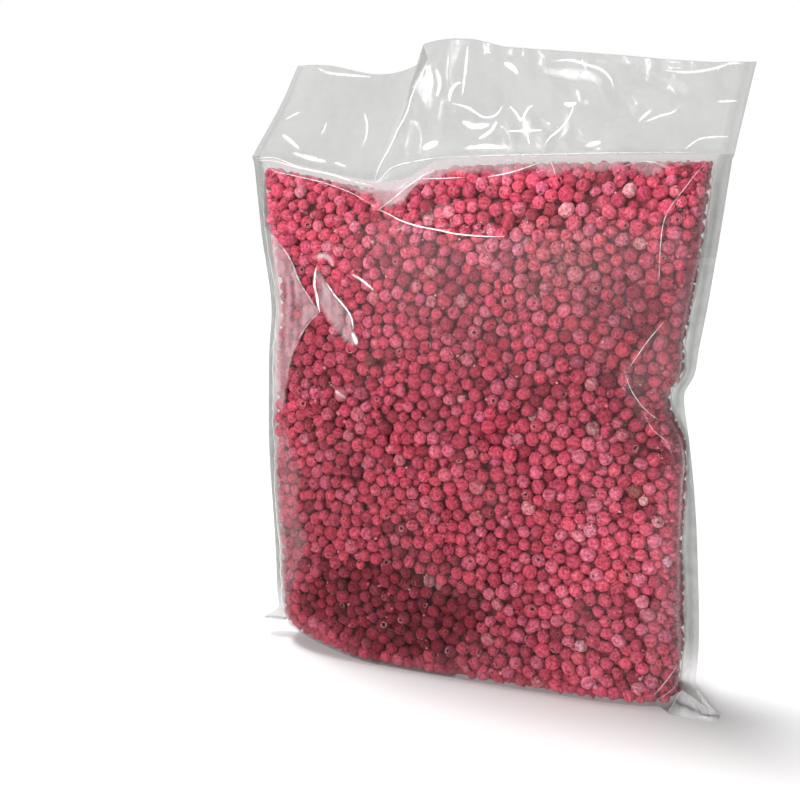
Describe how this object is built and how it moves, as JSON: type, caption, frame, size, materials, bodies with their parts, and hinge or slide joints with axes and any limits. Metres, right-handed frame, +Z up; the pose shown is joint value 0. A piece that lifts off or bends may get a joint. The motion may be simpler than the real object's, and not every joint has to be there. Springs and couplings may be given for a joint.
{
  "type": "clear pouch of freeze-dried redcurrants",
  "caption": "Clear sealed film pouch packed with whole freeze-dried redcurrants, standing upright on its flat bottom, with a free flap above the heat seal.",
  "frame": {"origin": "middle of the flat bottom that the pouch stands on, in the plane of its side seams", "axes": "+Z up along the pouch's height, +X along its width, -Y towards its front"},
  "size_m": [0.2925, 0.0906, 0.365],
  "materials": {
    "film": "clear glossy pouch film with soft wrinkles, flat side seams and a heat seal",
    "berries": "matte, dusty crimson skins of freeze-dried redcurrants"
  },
  "bodies": {
    "root": {"pouch": "film"}
  },
  "joints": []
}
